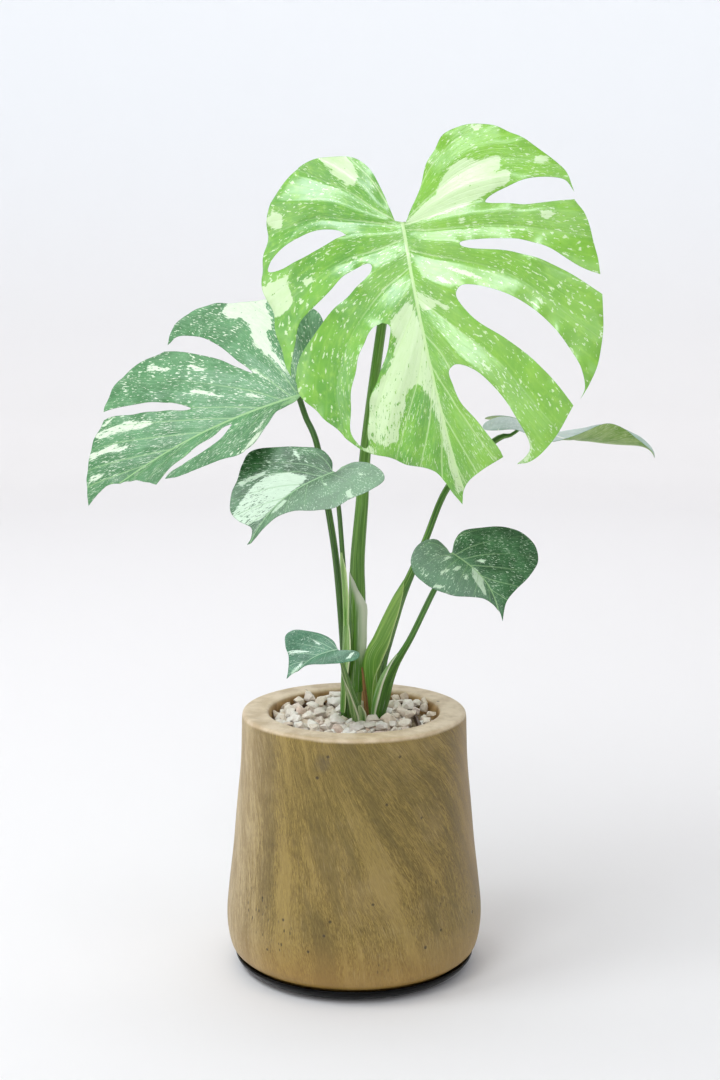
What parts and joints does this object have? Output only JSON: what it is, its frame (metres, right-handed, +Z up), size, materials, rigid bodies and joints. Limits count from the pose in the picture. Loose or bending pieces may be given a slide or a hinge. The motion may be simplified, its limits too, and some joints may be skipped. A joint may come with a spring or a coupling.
{
  "type": "potted variegated monstera plant",
  "caption": "Potted variegated monstera with split heart-shaped leaves on leaning stalks, in a rounded tapering pot with pumice gravel on a thin saucer.",
  "frame": {"origin": "centre of the saucer's underside, on the surface the plant stands on", "axes": "+Z up, -Y towards the front, where the largest leaf faces, +X to the right seen from the front"},
  "size_m": [0.4441, 0.2371, 0.6459],
  "materials": {
    "saucer": "black, half gloss",
    "pot": "satin, with darker slanting grain and a paler rim",
    "nursery_pot": "black",
    "soil": "dark crumbly soil",
    "gravel": "pale pumice, rough",
    "stalk_bright": "smooth green",
    "stalk_dark": "smooth dark green",
    "stalk_sheath": "pale green sheath",
    "dry_sheath": "dry brown",
    "leaf_bright": "bright yellow-green with cream patches, leaf gloss",
    "leaf_dark": "blue-green with cream patches, leaf gloss"
  },
  "bodies": {
    "root": {"saucer": "saucer", "pot": "pot", "nursery_pot_rim": "nursery_pot", "soil": "soil", "gravel": "gravel", "stalk_A": "stalk_bright", "stalk_B": "stalk_dark", "stalk_C": "stalk_dark", "stalk_D": "stalk_bright", "stalk_E": "stalk_sheath", "stalk_F": "stalk_dark", "dry_sheath": "dry_sheath", "leaf_A": "leaf_bright", "leaf_B": "leaf_dark", "leaf_C": "leaf_dark", "leaf_D": "leaf_dark", "leaf_E": "leaf_dark", "leaf_F": "leaf_dark"}
  },
  "joints": []
}
